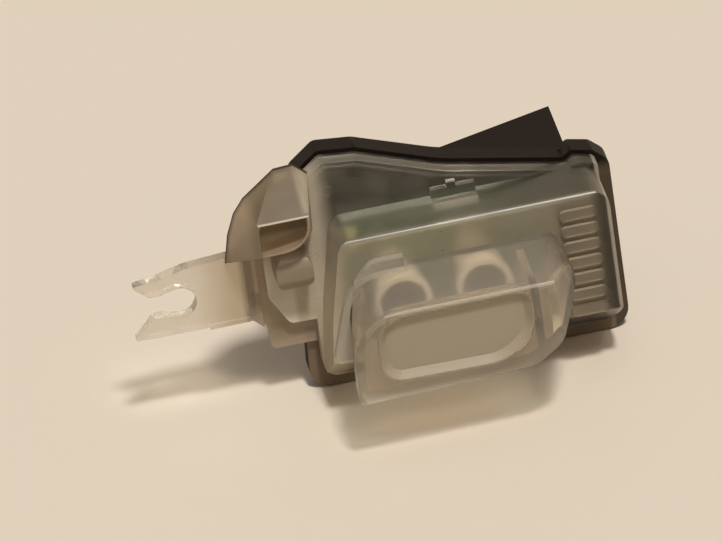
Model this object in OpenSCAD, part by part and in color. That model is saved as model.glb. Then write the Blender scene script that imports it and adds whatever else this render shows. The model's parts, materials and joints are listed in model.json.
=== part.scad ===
// Door handle light: a small clear lamp module over a black housing.
// X runs along the housing's bottom edge, Z up in its plane, and the lamp shines towards -Y.
// The origin is the centre of the round clip seat, whose axis is Y.

/* [Housing] */
// Distance from the clip seat to the housing's left edge
housing_left = 18.4; // [17:0.1:20]
// Width of the black housing along its bottom edge
housing_w = 50.8; // [46:0.1:54]
// How far the bottom edge lies below the clip seat
housing_low = 21.4; // [19:0.1:24]
// Height of the top edge above the seat, at the left
housing_top_left = 19.6; // [18:0.1:21]
// Height of the top edge above the seat, at the right
housing_top_right = 10.8; // [10.6:0.1:12]
// Depth of the black tray
tray_depth = 3.5; // [3.2:0.1:5]
// Thickness of the tray's rim
tray_wall = 1.6; // [1.4:0.1:2]
// Thickness of the tray's floor
tray_floor = 1.4; // [1:0.1:1.5]

/* [Front cover] */
// How far the clear plate stays inside the housing's top edge
cover_inset = 0.7; // [0.5:0.1:1]
// Width of black rim left bare beside the clear plate
bare_side = 2.2; // [1:0.1:2.4]
// Thickness of the clear plate
plate_t = 1.8; // [1.4:0.1:2.4]
// Wall of the clear box
box_wall = 1.3; // [1:0.1:1.6]
// How far the clear box stands out of the plate
box_depth = 8.7; // [7.5:0.1:10]
// Height of the box's flat top above the seat
box_top = 10.2; // [9.8:0.1:10.5]
// Number of moulded ribs at the box's right end
rib_count = 7; // [5:1:7]
// Distance between ribs
rib_pitch = 2.85; // [2.6:0.05:2.9]

/* [Light block] */
// How far the light block stands out of the box
block_reach = 14.8; // [12:0.1:17]
// Height of the block's top above the seat
block_top = 4.8; // [4.2:0.1:5.4]
// How far the block's bottom lies below the seat
block_low = 10.2; // [9.4:0.1:10.6]
// Wall of the light block
block_wall = 1.6; // [1.2:0.1:1.8]
// Thickness of the frosted window
window_t = 1.9; // [1.6:0.1:2.2]

/* [Clip] */
// Diameter of the round seat
seat_d = 5.2; // [5:0.1:5.4]
// Width of the mouth that snaps over the stud
mouth_w = 3.9; // [3.6:0.1:4.1]
// Thickness of the clip at its seat
clip_t = 2.0; // [1.6:0.1:2.6]

/* [Connector] */
// Angle of the connector to the housing's bottom edge
shroud_tilt = 10.7; // [6:0.1:14]
// Height of the connector shroud
shroud_h = 9.6; // [9:0.1:11]
// How far the shroud stands out behind the tray
shroud_out = 12; // [11:0.1:13]
// Length of the shroud
shroud_l = 24; // [22:0.5:26]
// Wall of the shroud
shroud_wall = 1.2; // [1:0.1:1.4]
// Depth of the socket
socket_deep = 14; // [12:0.5:15]
// Width of a square contact pin
pin_w = 0.64; // [0.5:0.01:0.8]
// Distance between contact pins
pin_pitch = 2.5; // [2:0.1:2.6]

/* [Hidden] */

$fn = 48;
ARC_STEPS = 6;
PAST = 1;

// Depths along Y, from the lamp's front to its back
plate_front = -1.5;
plate_back = plate_front + plate_t;
rim_front = 1.5;
floor_front = rim_front + tray_depth - tray_floor;
tray_back = rim_front + tray_depth;
box_front = plate_front - box_depth;
block_front = box_front - block_reach;
shroud_back = tray_back + shroud_out;

// Outline of the housing, seen from the front, as x, z and corner radius
housing_right = housing_left + housing_w;
lug_l = housing_right - 7.2;
housing_path = [
    [housing_left, -housing_low, 3.2],
    [housing_right, -housing_low, 3.5],
    [housing_right, housing_top_right - 2.3, 2.5],
    [housing_right - 2.4, housing_top_right - 0.1, 1.2],
    [lug_l + 1.4, housing_top_right + 0.7, 0.8],
    [lug_l, housing_top_right - 0.3, 0.6],
    [housing_left + 25, (housing_top_left + housing_top_right) / 2 - 0.6, 30],
    [housing_left + 12, housing_top_left, 3],
    [housing_left + 6, housing_top_left + 0.7, 1.5],
    [housing_left + 1.8, housing_top_left - 2.6, 1.5]
];

// Left end of the clear plate, which carries the hood
lobe_left = housing_left - 4.8;
lobe_path = [
    [lobe_left, -2, 3],
    [lobe_left + 2.8, -7.2, 1.2],
    [housing_left + 5.6, -7.4, 0],
    [housing_left + 5.6, 17, 0],
    [housing_left - 1.4, 17, 2],
    [lobe_left, 13, 2]
];

// Clear box: outline from the front, and its section as y and z
box_right = housing_right - 2.3;
box_low_front = -11;
box_low_back = -17.5;
box_path = [
    [housing_left + 2, box_low_back, 2],
    [box_right, box_low_back, 2.5],
    [box_right, box_top, 3],
    [housing_left + 6.2, box_top, 2.5],
    [housing_left + 3.6, -3.5, 10]
];
box_section = [
    [box_front, box_low_front, 0.8],
    [plate_front, box_low_back, 0],
    [plate_back + 3, box_low_back, 0],
    [plate_back + 3, box_top, 0],
    [box_front, box_top, 0.9]
];
rib_l = 6;
rib_h = 1.7;
rib_out = 0.7;
rib_top_z = 7.2;
rib_gap = 2.1;

// Left, bottom and right edges of the clear plate, which leave the black rim bare
cover_low = box_low_back - 0.5;
cover_limit = [
    [housing_left + bare_side, cover_low, 2.2],
    [housing_right - bare_side, cover_low, 2.8],
    [housing_right - bare_side, 50, 0],
    [housing_left + bare_side, 50, 0]
];
// Width of the ledge on which the clear plate rests
ledge_w = 0.8;
skirt_w = 1.6;

// Latch tab on the plate and its slot in the box's top
tab_x = 40.6;
tab_w = 7;

// Light block: outline from the front, and from above as x and y
block_path = [
    [22.6, -block_low, 1.5],
    [50.5, 1 - block_low, 4],
    [56, -5.5, 3],
    [59.4, 0.5, 3],
    [58, block_top, 2.5],
    [23.2, block_top, 7.5]
];
block_plan = [
    [26.2, box_front, 0],
    [22.2, block_front, 0],
    [54.8, block_front, 1.5],
    [59.4, block_front + 7.5, 4],
    [57.4, box_front, 0]
];
// Skirt of the block on the box's front, left of the block
skirt_t = 1.4;
skirt_path = [
    [21.1, -10.2, 1.2],
    [34, -10.2, 0],
    [34, 6.4, 0],
    [28.6, 6.4, 3],
    [24, 0.4, 12]
];
window_path = [
    [26.8, -7.3, 3.5],
    [46.2, -7.7, 7.5],
    [51.2, -3.4, 6],
    [51.2, 4.2, 2.5],
    [26.8, 4, 5]
];

// Wall between the lamps' chamber and the block's right end
web_x = 51.25;
web_t = 1.2;
// Dish in the window's front
dish_w = 1.3;
dish_deep = 1.1;

// Clip arm: outline from the front, and from above as x and y
seat_r = seat_d / 2;
seat_relief = [-1.4, 2.35];
arm_front = -clip_t / 2;
arm_end = housing_left + 2.2;
base_front = plate_back;
base_back = plate_back + 3.3;
arm_path = [
    [-8, -5.2, 0.3],
    [-4.6, -5.3, 3],
    [10.7, -5.5, 2],
    [12.9, -7.9, 1.5],
    [13.2, -12.1, 0.8],
    [arm_end, -12.2, 0],
    [arm_end, 9, 0],
    [12.6, 9, 1],
    [10, 6.4, 2],
    [1.5, 5.8, 8],
    [-3.8, 4.5, 8],
    [-7.4, 4.4, 0.35],
    [-4.6, mouth_w / 2, 0.9],
    [-1, mouth_w / 2, 0],
    [-1, -mouth_w / 2, 0],
    [-4.4, -mouth_w / 2, 0.9]
];
arm_plan = [
    [-8.4, arm_front, 0],
    [12.4, arm_front, 0],
    [12.4, base_front, 0],
    [arm_end, base_front, 0],
    [arm_end, base_back, 0],
    [12, base_back, 0],
    [10.6, -arm_front, 1.5],
    [-4.6, -arm_front, 1],
    [-8.4, arm_front + 1, 0]
];

// Hood over the side light: outlines at its back and its mouth
hood_wall = 0.6;
hood_mouth_y = -9;
hood_back_path = [
    [7.6, 5.6, 0],
    [21.9, 8.6, 0],
    [22.3, 18.8, 0],
    [20.2, 20.8, 0],
    [17.2, 20.6, 0],
    [14.7, 18.5, 0],
    [11.8, 16.5, 0],
    [10, 14.1, 0],
    [8.6, 10.5, 0]
];
hood_mouth_path = [
    [12.4, 9.6, 0],
    [20.9, 9.6, 4.5],
    [20.9, 15.3, 0],
    [12.7, 15.5, 0]
];

// Side light pipe, a rounded tongue under the hood
pipe_front = -6.6;
pipe_low = 0.6;
pipe_top = 6.9;
pipe_path = [
    [14.8, pipe_low, 2.5],
    [20.6, pipe_low, 2.5],
    [20.6, pipe_top, 2],
    [14.8, pipe_top, 2]
];
pipe_section = [
    [pipe_front, pipe_low, 3],
    [plate_front, pipe_low, 0],
    [plate_front, pipe_top, 0],
    [pipe_front, pipe_top, 2]
];

// Circuit board and what it carries
board_front = plate_back;
board_back = rim_front;
board_gap = 0.1;
board_path = [
    [22.6, -15.4, 1],
    [66, -15.4, 1],
    [66, 9.2, 1],
    [25.8, 9.2, 1],
    [23.8, -3.5, 0]
];
stake_r = 0.75;
stake_hole_r = 0.8;
stake_boss_r = 1.7;
stakes = [[27, -12.6], [62.5, -12.6], [62.5, 6.2]];
cup_x = [33.1, 45.8];
cup_z = -1.4;
cup_base_r = 3.1;
cup_front_r = 4.4;
cup_wall = 0.8;
cup_front = box_front - 2.6;
led_w = 3;
led_t = 1;

// Connector shroud, in its own tilted frame whose origin is the top edge of its mouth
mouth_top = [63, 10.9];
pin_z = -shroud_h / 2;
pin_tip = -6.5;
pin_bend = 16;
pin_step = 1.8;
pin_first_y = tray_back + shroud_out / 2 - pin_pitch;
pin_top = board_front - 0.5;

CLEAR = [0.86, 0.87, 0.84, 0.5];
FROST = [0.82, 0.81, 0.78, 0.8];
BLACK = [0.13, 0.11, 0.09];
BOARD_GREEN = [0.2, 0.36, 0.24];
SMOKE = [0.62, 0.54, 0.44, 0.6];

function unit(v) = v / norm(v);
function flat(p) = [p[0], p[1]];
function around(path, i) = path[(i + len(path)) % len(path)];
function left_of(v) = unit([-v[1], v[0]]);
function turn(a, b, c) = cross(b - a, c - b);

// Points of one corner, rounded to radius r
function corner(a, b, c, r) =
    r <= 0 ? [b] :
    let (u = unit(a - b), v = unit(c - b))
    let (half = acos(u * v) / 2)
    let (centre = b + unit(u + v) * r / sin(half))
    let (p = b + u * r / tan(half) - centre, q = b + v * r / tan(half) - centre)
    let (start = atan2(p[1], p[0]), sweep = (atan2(q[1], q[0]) - start + 540) % 360 - 180)
    [for (i = [0 : ARC_STEPS]) let (t = start + sweep * i / ARC_STEPS) centre + r * [cos(t), sin(t)]];

// A path of x, y and radius as plain points, anticlockwise
function rounded(path) = [
    for (i = [0 : len(path) - 1])
        each corner(flat(around(path, i - 1)), flat(path[i]), flat(around(path, i + 1)), path[i][2])
];

// The same path, moved inwards by d
function inset(path, d) = [
    for (i = [0 : len(path) - 1])
        let (a = flat(around(path, i - 1)), b = flat(path[i]), c = flat(around(path, i + 1)))
        let (m = left_of(b - a), n = left_of(c - b), p = b + (m + n) * d / (1 + m * n))
        let (r = path[i][2])
        [p[0], p[1], r == 0 ? 0 : max(r + (turn(a, b, c) > 0 ? -d : d), 0.2)]
];

// An outline seen from the front, as a solid from depth y0 to depth y1
module front_solid(path, y0, y1) {
    translate([0, y1, 0])
        rotate([90, 0, 0])
            linear_extrude(height = y1 - y0)
                polygon(rounded(path));
}

// An outline of y and z, as a solid from x0 to x1
module side_solid(path, x0, x1) {
    translate([x0, 0, 0])
        rotate([90, 0, 90])
            linear_extrude(height = x1 - x0)
                polygon(rounded(path));
}

// An outline of x and y, as a solid from z0 to z1
module plan_solid(path, z0, z1) {
    translate([0, 0, z0])
        linear_extrude(height = z1 - z0)
            polygon(rounded(path));
}

// A round bar along Y
module y_bar(x, z, r, y0, y1) {
    translate([x, y1, z])
        rotate([90, 0, 0])
            cylinder(h = y1 - y0, r = r);
}

// A box from its lowest to its highest corner
module span(low, high) {
    translate(low)
        cube(high - low);
}

// Outline of the clear plate, moved inwards by d
module cover_outline(d, y0, y1) {
    intersection() {
        front_solid(inset(housing_path, cover_inset + d), y0, y1);
        front_solid(inset(cover_limit, d), y0, y1);
    }
}

module box_form(d) {
    intersection() {
        front_solid(inset(box_path, d), box_front - PAST, plate_back + PAST);
        side_solid(inset(box_section, d), housing_left, housing_right);
    }
}

module block_form(d) {
    intersection() {
        front_solid(inset(block_path, d), block_front - PAST, box_front + PAST);
        plan_solid(inset(block_plan, d), -block_low - PAST, block_top + PAST);
    }
}

module arm_form() {
    intersection() {
        front_solid(arm_path, arm_front - PAST, base_back + PAST);
        plan_solid(arm_plan, -housing_low, housing_low);
    }
}

module hood_form(d, reach) {
    hull() {
        front_solid(inset(hood_back_path, d), plate_front - 0.01, plate_front + reach);
        front_solid(inset(hood_mouth_path, d), hood_mouth_y - reach, hood_mouth_y + 0.02);
    }
}

module in_shroud_frame() {
    translate([mouth_top[0], 0, mouth_top[1]])
        rotate([0, -shroud_tilt, 0])
            children();
}

module pin_form(i) {
    y = pin_first_y + i * pin_pitch;
    back = -pin_bend - i * pin_step;
    half = pin_w / 2;
    in_shroud_frame() {
        span([back - half, y - half, pin_z - half], [pin_tip, y + half, pin_z + half]);
        span([back - half, pin_top, pin_z - half], [back + half, y + half, pin_z + half]);
    }
}

module shroud() {
    in_shroud_frame() {
        difference() {
            span([-shroud_l, tray_back - tray_floor, -shroud_h], [0, shroud_back, 0]);
            span([-socket_deep, tray_back + shroud_wall, shroud_wall - shroud_h],
                [PAST, shroud_back - shroud_wall, -shroud_wall]);
            // Window for the plug's latch
            span([-8, shroud_back - shroud_wall - PAST, -6.3], [-4.5, shroud_back + PAST, -3.3]);
            // Slanted inner end
            translate([-shroud_l, shroud_back, 0])
                rotate([0, 0, 45])
                    cube([7, 7, 3 * shroud_h], center = true);
        }
        // Keying rib on the socket's floor
        span([-socket_deep, tray_back + 3, shroud_wall - shroud_h - 0.1],
            [-1.5, tray_back + 3.8, shroud_wall - shroud_h + 0.9]);
    }
}

module tray_ribs() {
    for (x = [28, 34])
        span([x, tray_back - 0.2, -16], [x + 1, tray_back + 1.4, 14]);
    span([24, tray_back - 0.2, -8], [40, tray_back + 1.4, -7]);
    span([40, tray_back - 0.2, -14], [64, tray_back + 1.4, -13]);
}

module rear_housing() {
    color(BLACK)
        difference() {
            union() {
                difference() {
                    front_solid(housing_path, rim_front, tray_back);
                    intersection() {
                        front_solid(inset(housing_path, tray_wall), rim_front - PAST, floor_front);
                        front_solid(inset(cover_limit, ledge_w), rim_front - PAST, floor_front);
                    }
                }
                shroud();
                tray_ribs();
                for (s = stakes) {
                    y_bar(s[0], s[1], stake_boss_r, board_back, floor_front + 0.2);
                    y_bar(s[0], s[1], stake_r, board_front, floor_front);
                }
            }
            seal_form();
            arm_form();
            for (i = [0 : 2])
                pin_form(i);
        }
}

// Groove and bead of the seal, under the clear plate's edge
module seal_form() {
    difference() {
        cover_outline(0.15, rim_front - 0.01, rim_front + 0.6);
        cover_outline(0.6, rim_front - PAST, rim_front + PAST);
    }
}

module perimeter_seal() {
    color([0.2, 0.19, 0.18])
        difference() {
            intersection() {
                seal_form();
                span([0, rim_front, -50], [80, rim_front + 1, 50]);
            }
            arm_form();
        }
}

module ribs() {
    for (i = [0 : rib_count - 1])
        translate([box_right - rib_gap - rib_l, box_front + 0.3, rib_top_z - i * rib_pitch])
            rotate([90, 0, 0])
                linear_extrude(height = rib_out + 0.3) {
                    translate([rib_h / 2, -rib_h / 2])
                        square([rib_l - rib_h, rib_h]);
                    translate([rib_h / 2, 0])
                        circle(d = rib_h, $fn = 24);
                    translate([rib_l - rib_h / 2, 0])
                        circle(d = rib_h, $fn = 24);
                }
}

module latch_tab() {
    span([tab_x, plate_front - 1.1, box_top - 0.3], [tab_x + tab_w, plate_front + 0.3, box_top + 1.5]);
    span([tab_x + 2.6, plate_front - 1.1, box_top + 1.2], [tab_x + 4, plate_front + 0.3, box_top + 2.3]);
}

module front_cover() {
    color(CLEAR)
        difference() {
            union() {
                difference() {
                    cover_outline(0, plate_front, rim_front);
                    cover_outline(skirt_w, plate_back, rim_front + PAST);
                    front_solid(inset(board_path, -board_gap), plate_back, rim_front + PAST);
                }
                front_solid(lobe_path, plate_front, plate_back);
                intersection() {
                    box_form(0);
                    span([0, box_front - PAST, -50], [80, plate_back, 50]);
                }
                ribs();
                latch_tab();
            }
            box_form(box_wall);
            // Way through the front wall for the reflectors
            front_solid(inset(block_path, block_wall), box_front - PAST, box_front + 2 * box_wall);
            // Slot of the latch tab
            span([tab_x, plate_front - 2.6, box_top - 2 * box_wall],
                [tab_x + tab_w, plate_front - 1.8, box_top + PAST]);
            arm_form();
        }
}

module light_block() {
    color(CLEAR)
        difference() {
            union() {
                intersection() {
                    block_form(0);
                    span([0, block_front - PAST, -50], [80, box_front, 50]);
                }
                front_solid(skirt_path, box_front - skirt_t, box_front);
            }
            difference() {
                block_form(block_wall);
                span([0, block_front - PAST, -50], [80, block_front + block_wall, 50]);
                span([web_x, block_front, -50], [web_x + web_t, box_front, 50]);
            }
            front_solid(inset(block_path, block_wall), box_front - 2, box_front + PAST);
            front_solid(window_path, block_front - PAST, block_front + block_wall + PAST);
        }
}

module frosted_window() {
    color(FROST)
        difference() {
            front_solid(window_path, block_front + 0.3, block_front + window_t);
            hull() {
                front_solid(inset(window_path, 0.2), block_front - PAST, block_front + 0.3);
                front_solid(inset(window_path, dish_w), block_front, block_front + 0.3 + dish_deep);
            }
        }
}

module side_hood() {
    color(SMOKE)
        difference() {
            hood_form(0, 0);
            hood_form(hood_wall, 0.5);
        }
}

module side_light_pipe() {
    color(CLEAR)
        intersection() {
            front_solid(pipe_path, pipe_front, plate_front);
            side_solid(pipe_section, pipe_path[0][0] - PAST, pipe_path[1][0] + PAST);
        }
}

module clip_arm() {
    color([0.9, 0.88, 0.82, 0.6])
        difference() {
            union() {
                arm_form();
                // Raised step along the lower edge
                span([4, arm_front - 0.6, -5.4], [10.4, arm_front + 0.2, -4.7]);
            }
            y_bar(0, 0, seat_r, arm_front - PAST, PAST - arm_front);
            // The seat opens out a little behind the hooks
            y_bar(seat_relief[0], 0, seat_relief[1], arm_front - PAST, PAST - arm_front);
        }
}

module circuit_board() {
    color(BOARD_GREEN)
        difference() {
            front_solid(board_path, board_front, board_back);
            for (s = stakes)
                y_bar(s[0], s[1], stake_hole_r, board_front - PAST, board_back + PAST);
            for (i = [0 : 2])
                pin_form(i);
        }
}

// A white cup that collects one lamp's light
module reflector(x) {
    depth = board_front - cup_front;
    translate([x, board_front, cup_z])
        rotate([90, 0, 0])
            rotate_extrude()
                polygon([[cup_base_r - cup_wall, 0], [cup_base_r, 0], [cup_front_r - 0.5, depth * 0.6],
                    [cup_front_r, depth], [cup_front_r - cup_wall, depth],
                    [cup_front_r - cup_wall - 0.6, depth * 0.6]]);
}

module reflector_left() {
    color("white")
        reflector(cup_x[0]);
}

module reflector_right() {
    color("white")
        reflector(cup_x[1]);
}

// A white lamp package with its domed lens
module led(x, z, w) {
    span([x - w / 2, board_front - led_t, z - w / 2], [x + w / 2, board_front, z + w / 2]);
    intersection() {
        translate([x, board_front - led_t, z])
            sphere(r = w * 0.4);
        span([x - w, board_front - led_t - w, z - w], [x + w, board_front - led_t + 0.2, z + w]);
    }
}

module led_left() {
    color([0.95, 0.9, 0.6])
        led(cup_x[0], cup_z, led_w);
}

module led_right() {
    color([0.95, 0.9, 0.6])
        led(cup_x[1], cup_z, led_w);
}

module led_side() {
    color([0.95, 0.9, 0.6])
        led(27.6, 4.6, 2);
}

module driver_chip() {
    color([0.12, 0.12, 0.12])
        span([57, board_front - 1.5, -5.6], [62, board_front, -1.6]);
}

module capacitor() {
    color([0.55, 0.42, 0.3])
        span([56.5, board_front - 1.6, 2], [59.7, board_front, 4.5]);
}

module diode() {
    color([0.12, 0.12, 0.12])
        span([30, board_front - 2.1, -12.4], [34.3, board_front, -9.8]);
}

module resistor(x, z) {
    span([x, board_front - 0.55, z], [x + 3.2, board_front, z + 1.6]);
}

module resistor_1() {
    color([0.15, 0.15, 0.17])
        resistor(38, -11.6);
}

module resistor_2() {
    color([0.15, 0.15, 0.17])
        resistor(44, -11.6);
}

module contact_pin_1() {
    color([0.75, 0.72, 0.65])
        pin_form(0);
}

module contact_pin_2() {
    color([0.75, 0.72, 0.65])
        pin_form(1);
}

module contact_pin_3() {
    color([0.75, 0.72, 0.65])
        pin_form(2);
}

rear_housing();
front_cover();
light_block();
frosted_window();
side_hood();
side_light_pipe();
clip_arm();
perimeter_seal();
circuit_board();
reflector_left();
reflector_right();
led_left();
led_right();
led_side();
driver_chip();
capacitor();
diode();
resistor_1();
resistor_2();
contact_pin_1();
contact_pin_2();
contact_pin_3();
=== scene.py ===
"""Looks of the door handle light: moulded finishes, small electronic details, a plain studio."""
import json
import logging
import math
from dataclasses import dataclass, field
from enum import Enum
from typing import Any, Mapping, Sequence

import bpy
from mathutils import Matrix, Vector


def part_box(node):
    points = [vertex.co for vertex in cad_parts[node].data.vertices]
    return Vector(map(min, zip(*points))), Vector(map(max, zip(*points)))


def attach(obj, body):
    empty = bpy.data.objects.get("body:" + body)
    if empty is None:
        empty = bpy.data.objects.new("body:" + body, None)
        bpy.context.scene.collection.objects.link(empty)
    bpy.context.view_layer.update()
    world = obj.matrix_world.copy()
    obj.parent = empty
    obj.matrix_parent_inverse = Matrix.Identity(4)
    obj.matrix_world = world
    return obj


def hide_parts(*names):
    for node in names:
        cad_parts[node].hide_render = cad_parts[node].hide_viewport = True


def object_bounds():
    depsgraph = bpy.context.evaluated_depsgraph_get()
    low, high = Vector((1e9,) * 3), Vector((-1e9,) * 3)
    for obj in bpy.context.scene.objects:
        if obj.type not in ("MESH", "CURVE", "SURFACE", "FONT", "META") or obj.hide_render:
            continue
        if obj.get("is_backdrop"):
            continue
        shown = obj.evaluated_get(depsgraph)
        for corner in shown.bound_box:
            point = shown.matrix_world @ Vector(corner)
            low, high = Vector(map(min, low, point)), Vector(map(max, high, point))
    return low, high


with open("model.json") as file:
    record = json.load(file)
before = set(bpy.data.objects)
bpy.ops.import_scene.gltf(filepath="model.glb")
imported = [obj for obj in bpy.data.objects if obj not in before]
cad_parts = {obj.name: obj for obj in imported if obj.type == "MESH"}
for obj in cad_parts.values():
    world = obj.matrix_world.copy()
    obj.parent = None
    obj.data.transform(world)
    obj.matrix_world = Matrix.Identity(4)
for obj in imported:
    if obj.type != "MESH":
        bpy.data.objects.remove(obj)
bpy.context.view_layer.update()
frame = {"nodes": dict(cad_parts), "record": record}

LOG = logging.getLogger("door_handle_light")
MM = 0.001
PHOTO_W = 722
PHOTO_H = 542
BODY = "root"
# The standard curve from sRGB to linear light.
SRGB_FULL = 255
SRGB_KNEE = 0.04045
SRGB_SLOPE = 12.92
SRGB_OFFSET = 0.055
SRGB_POWER = 2.4
# Blender's mix node has its sockets by number: the factor, then both sides as numbers or colours.
MIX_FACTOR = 0
NUMBER_A, NUMBER_B = 2, 3
COLOUR_A, COLOUR_B = 6, 7
COLOUR_OUT = 2
# How the patterns break up, and how strongly they tilt the light.
GRAIN_DETAIL = 4.0
GRAIN_ROUGHNESS = 0.6
WEAVE_DISTORTION = 0.6
RELIEF_STRENGTH = 0.5
MOTTLE_DETAIL = 3.0
MOTTLE_FROM, MOTTLE_TO = 0.3, 0.7
# Rounded edges have this many steps, and edges that turn by more than the crease stay sharp.
EDGE_STEPS = 2
CREASE_DEG = 35.0
# Turns a circle, ring or cone from the ground to look along Y.
UPRIGHT = (math.radians(90), 0, 0)


def linear(code: str) -> tuple[float, float, float, float]:
    """Turns an sRGB hex colour into linear light.

    Args:
        code: Six hex digits, such as "8a7b68".

    Returns:
        Red, green, blue and 1, for opaque.
    """
    parts = [int(code[i : i + 2], 16) / SRGB_FULL for i in (0, 2, 4)]
    lit = [
        p / SRGB_SLOPE if p <= SRGB_KNEE else ((p + SRGB_OFFSET) / (1 + SRGB_OFFSET)) ** SRGB_POWER
        for p in parts
    ]
    return lit[0], lit[1], lit[2], 1.0


def add_node(
    tree: bpy.types.NodeTree,
    kind: str,
    inputs: Mapping[Any, Any] | None = None,
    **settings: Any,
) -> bpy.types.Node:
    """Adds one node with its settings and links.

    Args:
        tree: The node tree.
        kind: Blender's name of the node's type.
        inputs: Value or output socket for each named or numbered input.
        **settings: Properties of the node itself.

    Returns:
        The new node.
    """
    node = tree.nodes.new(kind)
    for name, value in settings.items():
        setattr(node, name, value)
    for name, value in (inputs or {}).items():
        if isinstance(value, bpy.types.NodeSocket):
            tree.links.new(value, node.inputs[name])
        else:
            node.inputs[name].default_value = value
    return node


class Grain(Enum):
    """How a surface's fine relief is drawn."""

    MOULDED = "noise, as a mould leaves it"
    WOVEN = "glass-fibre weave under mask"


@dataclass(frozen=True)
class Zone:
    """A stretch along one axis over which a moulding changes its colour, and a clear one its haze.

    Named in another zone's within, only its place counts, and it limits that zone.
    """

    axis: str
    start_mm: float
    end_mm: float
    colour: str = "000000"
    clear: float = 0.0
    within: "Zone | None" = None

    def share(self, tree: bpy.types.NodeTree) -> bpy.types.NodeSocket:
        """Adds the zone's share: 0 before its start and 1 past its end.

        Args:
            tree: The material's node tree.

        Returns:
            The share's socket.
        """
        place = add_node(tree, "ShaderNodeTexCoord").outputs["Object"]
        split = add_node(tree, "ShaderNodeSeparateXYZ", {"Vector": place})
        ramp = add_node(
            tree,
            "ShaderNodeMapRange",
            {
                "Value": split.outputs[self.axis],
                "From Min": self.start_mm * MM,
                "From Max": self.end_mm * MM,
            },
            interpolation_type="SMOOTHSTEP",
        )
        if self.within is None:
            return ramp.outputs[0]
        both = add_node(
            tree,
            "ShaderNodeMath",
            {0: ramp.outputs[0], 1: self.within.share(tree)},
            operation="MULTIPLY",
        )
        return both.outputs[0]


@dataclass(frozen=True)
class Finish:
    """An opaque surface with grain in its colour, its roughness and its relief.

    The grain runs from colour to tone, takes the roughness up and down by swing, and stands
    relief_mm high. Shine is the level of its mirror-like part.
    """

    name: str
    colour: str
    tone: str
    roughness: float
    swing: float = 0.05
    grain_mm: float = 0.5
    relief_mm: float = 0.01
    metallic: float = 0.0
    ior: float = 1.5
    shine: float = 0.5
    grain: Grain = Grain.MOULDED
    zones: tuple[Zone, ...] = ()

    def pattern(self, tree: bpy.types.NodeTree) -> bpy.types.NodeSocket:
        """Adds the grain, spaced by its size in millimetres.

        Args:
            tree: The material's node tree.

        Returns:
            The pattern's socket, from 0 to 1.
        """
        place = add_node(tree, "ShaderNodeTexCoord").outputs["Object"]
        per_metre = 1 / (self.grain_mm * MM)
        if self.grain is Grain.WOVEN:
            waves = [
                add_node(
                    tree,
                    "ShaderNodeTexWave",
                    {
                        "Vector": place,
                        "Scale": per_metre / (2 * math.pi),
                        "Distortion": WEAVE_DISTORTION,
                    },
                    bands_direction=way,
                ).outputs["Fac"]
                for way in ("X", "Z")
            ]
            both = add_node(
                tree, "ShaderNodeMath", {0: waves[0], 1: waves[1]}, operation="MULTIPLY"
            )
            return both.outputs[0]
        noise = add_node(
            tree,
            "ShaderNodeTexNoise",
            {
                "Vector": place,
                "Scale": per_metre,
                "Detail": GRAIN_DETAIL,
                "Roughness": GRAIN_ROUGHNESS,
            },
        )
        return noise.outputs["Fac"]

    def shader(self, tree: bpy.types.NodeTree) -> bpy.types.Node:
        """Adds the principled shader with the grain on its colour, roughness and normal.

        Args:
            tree: The material's node tree.

        Returns:
            The shader node.
        """
        grain = self.pattern(tree)
        tone = add_node(
            tree,
            "ShaderNodeMix",
            {MIX_FACTOR: grain, COLOUR_A: linear(self.colour), COLOUR_B: linear(self.tone)},
            data_type="RGBA",
        )
        rough = add_node(
            tree,
            "ShaderNodeMapRange",
            {
                "Value": grain,
                "To Min": self.roughness - self.swing,
                "To Max": self.roughness + self.swing,
            },
        )
        bump = add_node(
            tree,
            "ShaderNodeBump",
            {"Height": grain, "Strength": RELIEF_STRENGTH, "Distance": self.relief_mm * MM},
        )
        return add_node(
            tree,
            "ShaderNodeBsdfPrincipled",
            {
                "Base Color": self.shaded(tree, tone.outputs[COLOUR_OUT]),
                "Roughness": rough.outputs[0],
                "Normal": bump.outputs[0],
                "Metallic": self.metallic,
                "IOR": self.ior,
                "Specular IOR Level": self.shine,
            },
        )

    def shaded(
        self, tree: bpy.types.NodeTree, colour: bpy.types.NodeSocket
    ) -> bpy.types.NodeSocket:
        """Changes the colour over each zone.

        Args:
            tree: The material's node tree.
            colour: The colour so far.

        Returns:
            The socket of the changed colour.
        """
        for zone in self.zones:
            mix = add_node(
                tree,
                "ShaderNodeMix",
                {MIX_FACTOR: zone.share(tree), COLOUR_A: colour, COLOUR_B: linear(zone.colour)},
                data_type="RGBA",
            )
            colour = mix.outputs[COLOUR_OUT]
        return colour

    def build(self) -> bpy.types.Material:
        """Makes the material.

        Returns:
            The new material.
        """
        material = bpy.data.materials.new(self.name)
        material.use_nodes = True
        tree = material.node_tree
        tree.nodes.clear()
        self.finish_tree(tree, self.shader(tree))
        return material

    def finish_tree(self, tree: bpy.types.NodeTree, shader: bpy.types.Node) -> None:
        """Links the shader to the output.

        Args:
            tree: The material's node tree.
            shader: The principled shader.
        """
        add_node(tree, "ShaderNodeOutputMaterial", {"Surface": shader.outputs[0]})


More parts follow.
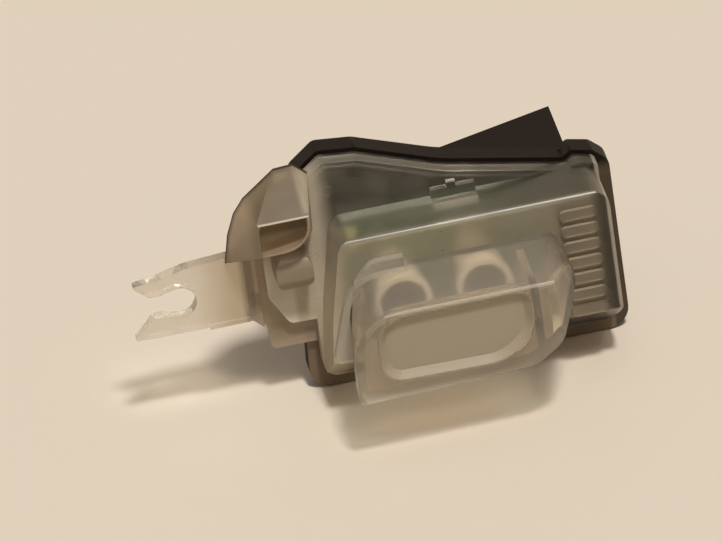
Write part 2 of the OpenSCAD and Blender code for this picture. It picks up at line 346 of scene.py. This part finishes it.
@dataclass(frozen=True)
class ClearFinish(Finish):
    """A clear or frosted moulding, which lets light on to what is behind, with a pale shadow.

    Clear is the share of light that passes, and shade the tint that it takes on. Mottle is how
    much of clear is lost in worn blots, mottle_mm apart.
    """

    clear: float = 0.9
    shade: str = "c4c1bc"
    mottle: float = 0.0
    mottle_mm: float = 3.0

    def clarity(self, tree: bpy.types.NodeTree) -> bpy.types.NodeSocket | float:
        """Gives how clear the moulding is, zone by zone, less where it is mottled.

        Args:
            tree: The material's node tree.

        Returns:
            A number, or a socket where there are zones or blots.
        """
        clear: bpy.types.NodeSocket | float = self.clear
        for zone in self.zones:
            mix = add_node(
                tree,
                "ShaderNodeMix",
                {MIX_FACTOR: zone.share(tree), NUMBER_A: clear, NUMBER_B: zone.clear},
            )
            clear = mix.outputs[0]
        if self.mottle:
            place = add_node(tree, "ShaderNodeTexCoord").outputs["Object"]
            blots = add_node(
                tree,
                "ShaderNodeTexNoise",
                {"Vector": place, "Scale": 1 / (self.mottle_mm * MM), "Detail": MOTTLE_DETAIL},
            )
            loss = add_node(
                tree,
                "ShaderNodeMapRange",
                {
                    "Value": blots.outputs["Fac"],
                    "From Min": MOTTLE_FROM,
                    "From Max": MOTTLE_TO,
                    "To Min": -self.mottle,
                    "To Max": 0.0,
                },
            )
            worn = add_node(
                tree,
                "ShaderNodeMath",
                {0: clear, 1: loss.outputs[0]},
                operation="ADD",
                use_clamp=True,
            )
            clear = worn.outputs[0]
        return clear

    def finish_tree(self, tree: bpy.types.NodeTree, shader: bpy.types.Node) -> None:
        """Makes the shader clear and lets shadow rays pass with a tint.

        Args:
            tree: The material's node tree.
            shader: The principled shader.
        """
        clear = self.clarity(tree)
        if isinstance(clear, bpy.types.NodeSocket):
            tree.links.new(clear, shader.inputs["Transmission Weight"])
        else:
            shader.inputs["Transmission Weight"].default_value = clear
        through = add_node(tree, "ShaderNodeBsdfTransparent", {"Color": linear(self.shade)})
        path = add_node(tree, "ShaderNodeLightPath")
        mix = add_node(
            tree,
            "ShaderNodeMixShader",
            {0: path.outputs["Is Shadow Ray"], 1: shader.outputs[0], 2: through.outputs[0]},
        )
        add_node(tree, "ShaderNodeOutputMaterial", {"Surface": mix.outputs[0]})


# Places on the mouldings where a finish changes, in millimetres from the clip's seat.
LOW_HALF = Zone("Z", 9.0, 5.0)
# Painted sheen: a paler colour on the front of the black rim, low down.
RIM_FRONT_SHEEN = Zone("Y", 2.1, 1.6, "6e5e4c", within=LOW_HALF)
BOX_FRONT = Zone("Y", -9.2, -10.0, "bfb296", 0.66)
HOOD_INSIDE = Zone("X", 12.6, 13.4)
HOOD_ROOF = Zone("Z", 15.3, 15.9)
HOOD_TOP = Zone("Z", 9.0, 10.0)
HOOD_LEFT = Zone("X", 9.4, 8.8)
UNDER_HOOD = Zone("X", 21.8, 20.8)
LOBE_LOW = Zone("Z", 6.0, 3.0)
BLOCK_LEFT = Zone("X", 36.0, 33.0)
BLOCK_TOP = Zone("Z", 4.25, 4.55)

# Fine grain is drawn at 0.2 mm or more, coarser than the real one, so that it shows. The clear
# plastics bend light less than the real ones, whose IOR is 1.53 to 1.58, to match the lamp's look.

# ABS from a spark-eroded mould: a warm black with a broken satin sheen. A painted sheen makes the
# front of its rim paler low down, with a darker strip at its right end.
BLACK_ABS = Finish(
    "abs_black_moulded",
    "130c08",
    "1a120d",
    roughness=0.45,
    swing=0.08,
    grain_mm=0.35,
    relief_mm=0.012,
    ior=1.53,
    shine=0.08,
    zones=(RIM_FRONT_SHEEN, Zone("X", 66.6, 67.3, "4a3f33", within=RIM_FRONT_SHEEN)),
)
# Polycarbonate from a worn mould: clear on top, hazy in front, milky by the clip, with painted
# shade on the box's top edge and under the hood, a painted highlight on the box's right edge and
# painted light left of the light pipe.
COVER_PC = ClearFinish(
    "polycarbonate_clear_moulded",
    "c6bda9",
    "d0c7b4",
    roughness=0.3,
    swing=0.06,
    grain_mm=4.0,
    relief_mm=0.05,
    ior=1.4,
    shine=0.08,
    zones=(
        Zone("X", 40.0, 60.0, "968b79", 0.955),
        BOX_FRONT,
        # Painted shade: a darker band along the top of the box's front, to tone down its lit edge.
        Zone("Z", 9.7, 10.0, "988c74", 0.82, within=BOX_FRONT),
        Zone("X", 56.5, 60.0, "b6a68d", 0.74, within=BOX_FRONT),
        Zone("X", 63.5, 65.5, "84745f", 0.9, within=BOX_FRONT),
        Zone("X", 26.0, 21.5, "d3c4ab", 0.46),
        # Painted shade: darker on the plate under the hood.
        Zone("Z", 8.5, 9.8, "9a866d", 0.45, within=UNDER_HOOD),
        # Painted highlight: a pale line along the box's right edge.
        Zone("X", 66.2, 66.5, "cabda8", 0.58),
        # Painted light: paler on the plate left of the light pipe, where the hood casts its shadow.
        Zone("X", 18.2, 17.2, "efe4cf", 0.46, within=LOBE_LOW),
    ),
    clear=0.97,
    shade="a8a5a0",
    mottle=0.06,
)
# Thick polycarbonate of the block: clearer, with a painted highlight along the top of its front
# face.
BLOCK_PC = ClearFinish(
    "polycarbonate_block_polished",
    "dacdb9",
    "e2d6c3",
    roughness=0.24,
    grain_mm=5.0,
    relief_mm=0.05,
    ior=1.3,
    shine=0.2,
    zones=(
        Zone("Y", -12.0, -11.5, "d2c6b1", 0.55, within=BLOCK_LEFT),
        # Painted highlight: a pale line along the top of the block's front face.
        Zone("Y", -24.5, -24.75, "ebe1d1", 0.62, within=BLOCK_TOP),
        Zone("Z", -9.0, -10.0, "e6dcc9", 0.74),
        Zone("X", 55.0, 58.0, "b3a692", 0.84),
    ),
    clear=0.865,
    shade="c1c4c4",
)
# The same plastic in the side light pipe, milky from wear.
PIPE_PC = ClearFinish(
    "polycarbonate_pipe_moulded",
    "a4937b",
    "ac9b83",
    roughness=0.38,
    grain_mm=3.0,
    relief_mm=0.05,
    ior=1.4,
    shine=0.06,
    clear=0.4,
    shade="aeaba6",
)
# Etched polycarbonate: milky, so that it glows evenly and hides what is behind.
WINDOW_PC = ClearFinish(
    "polycarbonate_frosted_etched",
    "a69882",
    "b0a28c",
    roughness=0.5,
    grain_mm=0.3,
    ior=1.4,
    shine=0.2,
    clear=0.3,
    shade="d2cfca",
)
# Polycarbonate seen against its own dark inside: a smoky brown. Painted light makes its left panel
# and the inside of its mouth paler, and painted shade darkens its rim at the back.
HOOD_PC = ClearFinish(
    "polycarbonate_smoky_moulded",
    "8c7b61",
    "95846b",
    roughness=0.3,
    grain_mm=3.0,
    relief_mm=0.05,
    ior=1.4,
    shine=0.08,
    zones=(
        # Painted light: the left panel paler.
        Zone("X", 13.5, 11.0, "b5a187", 0.58),
        # Painted light: the inside of the mouth paler.
        Zone("Z", 15.6, 15.0, "bea88b", 0.52, within=HOOD_INSIDE),
        Zone("X", 19.4, 21.0, "c0b196", 0.45, within=HOOD_ROOF),
        # Painted shade: a dark edge along the back rim, on top and on the left.
        Zone("Y", -2.1, -1.8, "3a2d20", 0.2, within=HOOD_TOP),
        Zone("Y", -2.1, -1.8, "3a2d20", 0.2, within=HOOD_LEFT),
    ),
    clear=0.6,
    shade="aeaba6",
)
# A bead on the lip of the hood's mouth, in the same plastic made pale and nearly opaque: a painted
# highlight.
LIP_HIGHLIGHT_PC = ClearFinish(
    "polycarbonate_lip_painted_highlight",
    "dccfba",
    "e6dac7",
    roughness=0.25,
    grain_mm=3.0,
    relief_mm=0.03,
    ior=1.4,
    shine=0.2,
    clear=0.3,
)
# Natural nylon: nearly clear at the fork; towards its base, where it thickens, painted shade makes
# it darker and less clear.
CLIP_PA = ClearFinish(
    "nylon_natural_moulded",
    "e2dbcf",
    "e8e2d7",
    roughness=0.2,
    grain_mm=4.0,
    relief_mm=0.04,
    ior=1.3,
    shine=0.1,
    zones=(
        # Painted shade: darker and less clear towards the base, for the dark seen behind it.
        Zone("X", 1.0, 8.5, "c9bca6", 0.77),
        Zone("X", 9.3, 11.0, "ad9d87", 0.42),
        Zone("X", 12.5, 13.5, "b1a088", 0.46),
    ),
)
# Moulded silicone bead: dark and dull.
SEAL_SILICONE = Finish("silicone_bead_moulded", "26221e", "302b26", roughness=0.6, grain_mm=0.3)
# Solder mask over glass fibre: green with a fine weave and a soft gloss.
BOARD_FR4 = Finish(
    "solder_mask_on_fr4_screened",
    "34583a",
    "3e6645",
    roughness=0.34,
    grain_mm=0.55,
    relief_mm=0.012,
    grain=Grain.WOVEN,
)
# Copper under solder mask: a lighter green relief.
TRACK_COPPER = Finish("copper_under_mask_etched", "48704a", "557d57", roughness=0.36, grain_mm=0.4)
# White filled polycarbonate: bright, with a faint pearl gloss.
CUP_WHITE = Finish(
    "polycarbonate_white_moulded", "d4d0ca", "dcd8d2", roughness=0.3, grain_mm=0.8, ior=1.58
)
# Aluminium coated inside the cups: a soft grey mirror.
CUP_ALUMINIUM = Finish(
    "aluminium_vacuum_coated",
    "9c9184",
    "a89d90",
    roughness=0.32,
    grain_mm=0.6,
    relief_mm=0.006,
    metallic=1.0,
)
# Lamp package: white ceramic-filled plastic with a pale yellow phosphor.
LAMP_WHITE = Finish("lamp_package_moulded", "e6dfb6", "efe9c8", roughness=0.24)
# Epoxy package: matt black with a fine sparkle.
CHIP_EPOXY = Finish(
    "epoxy_package_moulded", "1d1c1b", "272624", roughness=0.55, swing=0.06, grain_mm=0.2
)
# Ceramic: dull brown body.
CERAMIC = Finish("ceramic_capacitor_fired", "8d7050", "997b5a", roughness=0.5, grain_mm=0.2)
# Tin plating: a soft grey metal.
TIN = Finish(
    "tin_plated_brass_stamped",
    "b9b4aa",
    "c8c3b9",
    roughness=0.28,
    swing=0.06,
    grain_mm=0.3,
    relief_mm=0.008,
    metallic=1.0,
)


NODE_FINISHES: dict[str, Finish] = {
    "rear_housing": BLACK_ABS,
    "front_cover": COVER_PC,
    "light_block": BLOCK_PC,
    "frosted_window": WINDOW_PC,
    "side_hood": HOOD_PC,
    "side_light_pipe": PIPE_PC,
    "clip_arm": CLIP_PA,
    "perimeter_seal": SEAL_SILICONE,
    "circuit_board": BOARD_FR4,
    "reflector_left": CUP_WHITE,
    "reflector_right": CUP_WHITE,
    "led_left": LAMP_WHITE,
    "led_right": LAMP_WHITE,
    "led_side": LAMP_WHITE,
    "driver_chip": CHIP_EPOXY,
    "capacitor": CERAMIC,
    "diode": CHIP_EPOXY,
    "resistor_1": CHIP_EPOXY,
    "resistor_2": CHIP_EPOXY,
    "contact_pin_1": TIN,
    "contact_pin_2": TIN,
    "contact_pin_3": TIN,
}


@dataclass
class Workshop:
    """Holds each finish once and makes meshes the way a modeller would by hand."""

    made: dict[str, bpy.types.Material] = field(default_factory=dict)

    def material(self, finish: Finish) -> bpy.types.Material:
        """Gives the finish's material, made on first use.

        Args:
            finish: The finish.

        Returns:
            Its material.
        """
        if finish.name not in self.made:
            self.made[finish.name] = finish.build()
        return self.made[finish.name]

    def dress(self, piece: bpy.types.Object, finish: Finish) -> None:
        """Gives a piece one finish."""
        piece.data.materials.clear()
        piece.data.materials.append(self.material(finish))

    def beveled_block(
        self, name: str, low: Sequence[float], high: Sequence[float], bevel: float
    ) -> bpy.types.Object:
        """Models a block with rounded edges between two corners.

        Args:
            name: Name of the piece.
            low: Lowest corner, in metres.
            high: Highest corner, in metres.
            bevel: Width of the rounded edges, in metres.

        Returns:
            The new object, at the origin.
        """
        a, b = Vector(low), Vector(high)
        bpy.ops.object.select_all(action="DESELECT")
        bpy.ops.mesh.primitive_cube_add(size=1, location=(a + b) / 2)
        piece = bpy.context.object
        piece.name = piece.data.name = name
        piece.scale = b - a
        bpy.ops.object.transform_apply(location=True, rotation=True, scale=True)
        bpy.ops.object.mode_set(mode="EDIT")
        bpy.ops.mesh.select_all(action="SELECT")
        bpy.ops.mesh.bevel(offset=bevel, segments=EDGE_STEPS, affect="EDGES")
        bpy.ops.object.mode_set(mode="OBJECT")
        return piece

    def only(self, piece: bpy.types.Object) -> None:
        """Selects one piece alone and makes it active.

        Args:
            piece: The piece.
        """
        bpy.ops.object.select_all(action="DESELECT")
        piece.select_set(True)
        bpy.context.view_layer.objects.active = piece

    def join(self, name: str, pieces: Sequence[bpy.types.Object]) -> bpy.types.Object:
        """Joins pieces into one object at the origin.

        Args:
            name: Name of the joined piece.
            pieces: What is joined, two or more.

        Returns:
            The joined object.
        """
        bpy.ops.object.select_all(action="DESELECT")
        for piece in pieces:
            piece.select_set(True)
        bpy.context.view_layer.objects.active = pieces[0]
        bpy.ops.object.join()
        joined = bpy.context.object
        joined.name = joined.data.name = name
        return joined

    def seat(
        self, piece: bpy.types.Object, finish: Finish, slot: str, crease_deg: float = CREASE_DEG
    ) -> None:
        """Finishes a new piece: smooth shading, material and body.

        Args:
            piece: The new piece.
            finish: Its surface.
            slot: The record's material slot; not used.
            crease_deg: Edges that turn by more than this stay sharp.
        """
        self.only(piece)
        bpy.ops.object.shade_smooth_by_angle(angle=math.radians(crease_deg))
        normals = piece.modifiers.new("normals", "WEIGHTED_NORMAL")
        normals.keep_sharp = True
        bpy.ops.object.modifier_apply(modifier=normals.name)
        self.dress(piece, finish)
        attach(piece, BODY)
        LOG.info("piece %s in %s", piece.name, finish.name)


@dataclass
class Mouldings:
    """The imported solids: visible mouldings get rounded edges, and every solid gets its finish."""

    shop: Workshop
    edge_mm: Mapping[str, float] = field(
        default_factory=lambda: {
            "rear_housing": 0.25,
            "front_cover": 0.2,
            "light_block": 0.3,
            "frosted_window": 0.15,
            "side_hood": 0.15,
            "side_light_pipe": 0.3,
            "clip_arm": 0.2,
            "circuit_board": 0.08,
        }
    )
    edge_angle_deg: float = 40.0
    crease_deg: Mapping[str, float] = field(default_factory=lambda: {"side_hood": 21.0})
    merge: float = 0.05 * MM

    def build(self) -> None:
        """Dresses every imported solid, and rounds those that show."""
        slots = {part["node"]: part["material_slot"] for part in frame["record"]["subparts"]}
        for name, solid in frame["nodes"].items():
            finish = NODE_FINISHES[name]
            self.shop.dress(solid, finish)
            if name in self.edge_mm:
                piece = self.rounded_copy(name, self.edge_mm[name] * MM)
                crease = self.crease_deg.get(name, CREASE_DEG)
                self.shop.seat(piece, finish, slots[name], crease)
                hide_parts(name)
            LOG.info("solid %s in %s", name, finish.name)

    def rounded_copy(self, name: str, width: float) -> bpy.types.Object:
        """Copies a solid, merges its triangles and rounds its sharp edges, as a mould leaves them.

        Args:
            name: The solid's name.
            width: Width of the rounded edges, in metres.

        Returns:
            The new piece.
        """
        piece = bpy.data.objects.new(f"{name}_moulding", frame["nodes"][name].data.copy())
        bpy.context.collection.objects.link(piece)
        self.shop.only(piece)
        if piece.data.has_custom_normals:
            bpy.ops.mesh.customdata_custom_splitnormals_clear()
        bpy.ops.object.mode_set(mode="EDIT")
        bpy.ops.mesh.select_all(action="SELECT")
        bpy.ops.mesh.remove_doubles(threshold=self.merge)
        bpy.ops.object.mode_set(mode="OBJECT")
        bevel = piece.modifiers.new("edges", "BEVEL")
        bevel.width = width
        bevel.segments = EDGE_STEPS
        bevel.limit_method = "ANGLE"
        bevel.angle_limit = math.radians(self.edge_angle_deg)
        bevel.miter_outer = "MITER_ARC"
        bpy.ops.object.modifier_apply(modifier=bevel.name)
        return piece


@dataclass
class CupLinings:
    """The thin metal coating inside each white cup."""

    shop: Workshop
    base_r: float = 2.27 * MM
    middle_r: float = 2.97 * MM
    front_r: float = 3.57 * MM
    middle_share: float = 0.6
    coat_t: float = 0.02 * MM
    end_gap: float = 0.1 * MM
    sides: int = 48

    def build(self) -> None:
        """Makes both linings."""
        for side in ("left", "right"):
            self.lining(side)

    def lining(self, side: str) -> None:
        """Extrudes a ring along the cup, wider at each step, and gives it a thickness.

        Args:
            side: Which cup.
        """
        low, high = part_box(f"reflector_{side}")
        middle = (low + high) / 2
        depth = high.y - low.y - 2 * self.end_gap
        bpy.ops.object.select_all(action="DESELECT")
        bpy.ops.mesh.primitive_circle_add(
            vertices=self.sides,
            radius=self.base_r,
            location=(middle.x, high.y - self.end_gap, middle.z),
            rotation=UPRIGHT,
        )
        piece = bpy.context.object
        piece.name = piece.data.name = f"reflector_coating_{side}"
        bpy.ops.object.transform_apply(location=True, rotation=True, scale=True)
        bpy.ops.object.mode_set(mode="EDIT")
        bpy.ops.mesh.select_all(action="SELECT")
        steps = (
            (self.middle_share, self.middle_r / self.base_r),
            (1 - self.middle_share, self.front_r / self.middle_r),
        )
        for share, grow in steps:
            step = (0, -depth * share, 0)
            bpy.ops.mesh.extrude_region_move(TRANSFORM_OT_translate={"value": step})
            bpy.ops.transform.resize(value=(grow, 1, grow))
        bpy.ops.object.mode_set(mode="OBJECT")
        wall = piece.modifiers.new("wall", "SOLIDIFY")
        wall.thickness = self.coat_t
        wall.offset = 0
        bpy.ops.object.modifier_apply(modifier=wall.name)
        self.shop.seat(piece, CUP_ALUMINIUM, "white_moulding")


@dataclass
class MouldMarks:
    """Small raised marks that the moulds leave on the clip and the plate, and a pale bead on the
    hood's mouth as a painted highlight.
    """

    shop: Workshop
    bevel: float = 0.08 * MM
    root_back: float = 0.6 * MM
    ridge_w: float = 0.3 * MM
    ridge_out: float = 0.25 * MM
    ridges: tuple[tuple[float, float, float], ...] = (
        (11.2 * MM, -0.9 * MM, 2.3 * MM),
        (11.9 * MM, -1.2 * MM, 3.0 * MM),
    )
    ring_centre: tuple[float, float, float] = (25.0 * MM, -1.5 * MM, 14.6 * MM)
    ring_r: float = 0.8 * MM
    ring_t: float = 0.09 * MM
    ring_flat: float = 0.6
    ring_steps: int = 32
    ring_sides: int = 8
    highlight_low: tuple[float, float, float] = (12.8 * MM, -9.1 * MM, 15.15 * MM)
    highlight_high: tuple[float, float, float] = (20.8 * MM, -8.85 * MM, 15.45 * MM)

    def build(self) -> None:
        """Makes the ridges by the clip's root, the ejector's ring and the painted highlight bead on
        the hood's lip.
        """
        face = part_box("clip_arm")[0].y + self.root_back
        strips = [
            self.shop.beveled_block(
                "ridge",
                (x, face - self.ridge_out, top - length),
                (x + self.ridge_w, face, top),
                self.bevel,
            )
            for x, top, length in self.ridges
        ]
        self.shop.seat(self.shop.join("clip_root_ridges", strips), CLIP_PA, "natural_moulding")
        self.ejector_ring()
        # Painted highlight: a pale bead along the top of the hood's mouth.
        highlight_bead = self.shop.beveled_block("hood_mouth_highlight_bead", self.highlight_low, self.highlight_high, self.bevel)
        self.shop.seat(highlight_bead, LIP_HIGHLIGHT_PC, "smoke_moulding")

    def ejector_ring(self) -> None:
        """A thin ring where the ejector pin pushed the plate out."""
        bpy.ops.object.select_all(action="DESELECT")
        bpy.ops.mesh.primitive_torus_add(
            major_segments=self.ring_steps,
            minor_segments=self.ring_sides,
            major_radius=self.ring_r,
            minor_radius=self.ring_t,
            location=self.ring_centre,
            rotation=UPRIGHT,
        )
        piece = bpy.context.object
        piece.name = piece.data.name = "plate_ejector_ring"
        bpy.ops.object.transform_apply(location=True, rotation=True, scale=True)
        bpy.ops.object.mode_set(mode="EDIT")
        bpy.ops.mesh.select_all(action="SELECT")
        bpy.ops.transform.resize(value=(1, self.ring_flat, 1))
        bpy.ops.object.mode_set(mode="OBJECT")
        self.shop.seat(piece, COVER_PC, "clear_moulding")


@dataclass
class BoardDetails:
    """Solder, leads, end caps and tracks on the circuit board."""

    shop: Workshop
    leads_a_side: int = 4
    lead_w: float = 0.4 * MM
    lead_in: float = 0.1 * MM
    lead_out: float = 0.9 * MM
    lead_t: float = 0.15 * MM
    lead_gap: float = 0.002 * MM
    lead_bevel: float = 0.03 * MM
    cap_t: float = 0.03 * MM
    cap_share: float = 0.18
    cap_bevel: float = 0.05 * MM
    joint_r: float = 0.75 * MM
    joint_tip_r: float = 0.35 * MM
    joint_h: float = 0.55 * MM
    joint_bevel: float = 0.1 * MM
    joint_sides: int = 24
    pin_half: float = 0.374 * MM
    track_t: float = 0.05 * MM
    track_bevel: float = 0.015 * MM
    track_inset: float = 1.6 * MM
    upper_tracks: int = 5
    upper_pitch: float = 0.9 * MM
    upper_w: float = 0.35 * MM
    upper_start: float = 6.0 * MM
    upper_start_step: float = 1.5 * MM
    upper_end: float = 4.0 * MM
    upper_end_step: float = 2.2 * MM
    lower_tracks: int = 4
    lower_pitch: float = 0.8 * MM
    lower_w: float = 0.3 * MM
    lower_start: float = 5.0 * MM
    lower_end: float = 34.0 * MM
    lower_end_step: float = 3.0 * MM

    @property
    def face(self) -> float:
        """Depth of the board's front face."""
        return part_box("circuit_board")[0].y

    def build(self) -> None:
        """Makes each detail."""
        self.chip_leads()
        for node in ("capacitor", "resistor_1", "resistor_2", "diode"):
            self.end_caps(node)
        for number in (1, 2, 3):
            self.solder_joint(number)
        self.tracks()

    def chip_leads(self) -> None:
        """Flat leads on each long side of the chip."""
        low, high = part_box("driver_chip")
        pitch = (high.x - low.x) / self.leads_a_side
        leads = []
        for i in range(self.leads_a_side):
            x = low.x + (i + 0.5) * pitch
            for side, z in ((1, high.z), (-1, low.z)):
                ends = sorted((z - side * self.lead_in, z + side * self.lead_out))
                leads.append(
                    self.shop.beveled_block(
                        "lead",
                        (x - self.lead_w / 2, self.face - self.lead_t, ends[0]),
                        (x + self.lead_w / 2, self.face - self.lead_gap, ends[1]),
                        self.lead_bevel,
                    )
                )
        self.shop.seat(self.shop.join("driver_chip_leads", leads), TIN, "tinned_pin")

    def end_caps(self, node: str) -> None:
        """Tinned caps on both ends of a chip part.

        Args:
            node: The part's name.
        """
        low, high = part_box(node)
        wide = (high.x - low.x) * self.cap_share
        skin = Vector((self.cap_t, self.cap_t, self.cap_t))
        caps = []
        for start in (low.x, high.x - wide):
            a = Vector((start, low.y, low.z)) - skin
            b = Vector((start + wide, high.y - 2 * self.cap_t, high.z)) + skin
            caps.append(self.shop.beveled_block("cap", a, b, self.cap_bevel))
        self.shop.seat(self.shop.join(f"{node}_ends", caps), TIN, "tinned_pin")

    def solder_joint(self, number: int) -> None:
        """The solder cone round one contact pin.

        Args:
            number: The pin's number.
        """
        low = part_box(f"contact_pin_{number}")[0]
        bpy.ops.object.select_all(action="DESELECT")
        bpy.ops.mesh.primitive_cone_add(
            vertices=self.joint_sides,
            radius1=self.joint_r,
            radius2=self.joint_tip_r,
            depth=self.joint_h,
            location=(low.x + self.pin_half, self.face - self.joint_h / 2, low.z + self.pin_half),
            rotation=UPRIGHT,
        )
        piece = bpy.context.object
        bpy.ops.object.transform_apply(location=True, rotation=True, scale=True)
        bpy.ops.object.mode_set(mode="EDIT")
        bpy.ops.mesh.select_all(action="SELECT")
        bpy.ops.mesh.bevel(offset=self.joint_bevel, segments=EDGE_STEPS, affect="EDGES")
        bpy.ops.mesh.normals_make_consistent(inside=False)
        bpy.ops.object.mode_set(mode="OBJECT")
        piece.name = piece.data.name = f"solder_joint_{number}"
        self.shop.seat(piece, TIN, "tinned_pin")

    def tracks(self) -> None:
        """Copper tracks that stand up a little under the solder mask."""
        low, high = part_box("circuit_board")
        runs = []
        for i in range(self.upper_tracks):
            z = high.z - self.track_inset - i * self.upper_pitch
            start = low.x + self.upper_start + i * self.upper_start_step
            end = high.x - self.upper_end - i * self.upper_end_step
            runs.append(((start, z), (end, z + self.upper_w)))
        for i in range(self.lower_tracks):
            z = low.z + self.track_inset + i * self.lower_pitch
            end = low.x + self.lower_end - i * self.lower_end_step
            runs.append(((low.x + self.lower_start, z), (end, z + self.lower_w)))
        strips = [
            self.shop.beveled_block(
                "track",
                (a[0], self.face - self.track_t, a[1]),
                (b[0], self.face, b[1]),
                self.track_bevel,
            )
            for a, b in runs
        ]
        self.shop.seat(self.shop.join("board_tracks", strips), TRACK_COPPER, "board_green")


@dataclass
class Studio:
    """Pale floor, soft light and the photo's camera."""

    floor_colour: str = "decfbb"
    floor_drop: float = 0.3 * MM
    floor_size: float = 12.0
    floor_roughness: float = 0.55
    floor_shine: float = 0.2
    sun_share: float = 0.76
    world_share: float = 0.25
    world_tint: tuple[float, float, float, float] = (1.0, 0.985, 0.96, 1.0)
    sun_travel: Vector = field(default_factory=lambda: Vector((-2.2, 9.6, -17.1)))
    sun_width_deg: float = 7.0
    box_size: tuple[float, float] = (0.3, 0.12)
    box_watts: float = 0.04
    box_place: tuple[float, float, float] = (0.02, -0.22, 0.42)
    box_aim: tuple[float, float, float] = (0.04, -0.005, 0.0)
    px_per_mm: float = 6.5
    seat_px: tuple[float, float] = (177.0, 300.0)
    right: Vector = field(default_factory=lambda: Vector((0.9754, -0.1815, -0.1246)))
    up: Vector = field(default_factory=lambda: Vector((0.1985, 0.4846, 0.8523)))
    distance: float = 2.0
    sensor_mm: float = 36.0
    near: float = 0.01

    def build(self) -> None:
        """Makes the floor, the world, the lamps and the camera."""
        self.floor()
        self.world()
        self.lamps()
        self.camera()
        bpy.context.scene.view_settings.view_transform = "Standard"

    def floor(self) -> None:
        """A pale matt floor just under the lamp."""
        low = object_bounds()[0]
        bpy.ops.object.select_all(action="DESELECT")
        bpy.ops.mesh.primitive_plane_add(
            size=self.floor_size, location=(0, 0, low.z - self.floor_drop)
        )
        floor = bpy.context.object
        floor.name = "floor"
        material = bpy.data.materials.new("floor_painted_board")
        material.use_nodes = True
        shader = material.node_tree.nodes["Principled BSDF"]
        shader.inputs["Base Color"].default_value = linear(self.floor_colour)
        shader.inputs["Roughness"].default_value = self.floor_roughness
        shader.inputs["Specular IOR Level"].default_value = self.floor_shine
        floor.data.materials.append(material)
        floor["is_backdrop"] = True

    def world(self) -> None:
        """An even surround, which camera, mirror and clear rays see in the floor's colour."""
        world = bpy.data.worlds.new("surround")
        bpy.context.scene.world = world
        world.use_nodes = True
        tree = world.node_tree
        tree.nodes.clear()
        path = add_node(tree, "ShaderNodeLightPath")
        seen = path.outputs["Is Camera Ray"]
        for name in ("Is Glossy Ray", "Is Transmission Ray"):
            seen = add_node(
                tree, "ShaderNodeMath", {0: seen, 1: path.outputs[name]}, operation="MAXIMUM"
            ).outputs[0]
        lit = add_node(
            tree, "ShaderNodeBackground", {"Color": self.world_tint, "Strength": self.world_share}
        )
        shown = add_node(
            tree, "ShaderNodeBackground", {"Color": linear(self.floor_colour), "Strength": 1.0}
        )
        mix = add_node(
            tree, "ShaderNodeMixShader", {0: seen, 1: lit.outputs[0], 2: shown.outputs[0]}
        )
        add_node(tree, "ShaderNodeOutputWorld", {"Surface": mix.outputs[0]})

    def lamps(self) -> None:
        """A soft sun from above and in front, and a softbox for highlights."""
        sun = bpy.data.lights.new("soft_sun", "SUN")
        travel = self.sun_travel.normalized()
        sun.energy = self.sun_share * math.pi / -travel.z
        sun.angle = math.radians(self.sun_width_deg)
        lamp = bpy.data.objects.new("soft_sun", sun)
        lamp.rotation_euler = travel.to_track_quat("-Z", "Y").to_euler()
        bpy.context.collection.objects.link(lamp)
        box = bpy.data.lights.new("softbox", "AREA")
        box.shape = "RECTANGLE"
        box.size, box.size_y = self.box_size
        box.energy = self.box_watts
        softbox = bpy.data.objects.new("softbox", box)
        softbox.location = self.box_place
        aim = Vector(self.box_aim) - softbox.location
        softbox.rotation_euler = aim.to_track_quat("-Z", "Y").to_euler()
        bpy.context.collection.objects.link(softbox)

    def camera(self) -> None:
        """The photo's view, with its lens and place worked out from the clip seat's pixel."""
        back = self.right.cross(self.up).normalized()
        across = (PHOTO_W / 2 - self.seat_px[0]) / self.px_per_mm * MM
        above = (self.seat_px[1] - PHOTO_H / 2) / self.px_per_mm * MM
        target = self.right * across + self.up * above
        data = bpy.data.cameras.new("camera")
        data.sensor_width = self.sensor_mm
        data.lens = data.sensor_width * self.distance * self.px_per_mm / (PHOTO_W * MM)
        data.clip_start = self.near
        camera = bpy.data.objects.new("camera", data)
        turn = Matrix((self.right, self.up, back)).transposed().to_4x4()
        camera.matrix_world = Matrix.Translation(target + back * self.distance) @ turn
        bpy.context.collection.objects.link(camera)
        bpy.context.scene.camera = camera


def main() -> None:
    """Dresses the solids, adds the small pieces and sets the studio."""
    logging.basicConfig(level=logging.INFO, format="%(name)s: %(message)s")
    shop = Workshop()
    Mouldings(shop).build()
    CupLinings(shop).build()
    MouldMarks(shop).build()
    BoardDetails(shop).build()
    Studio().build()


if __name__ == "__main__":
    main()
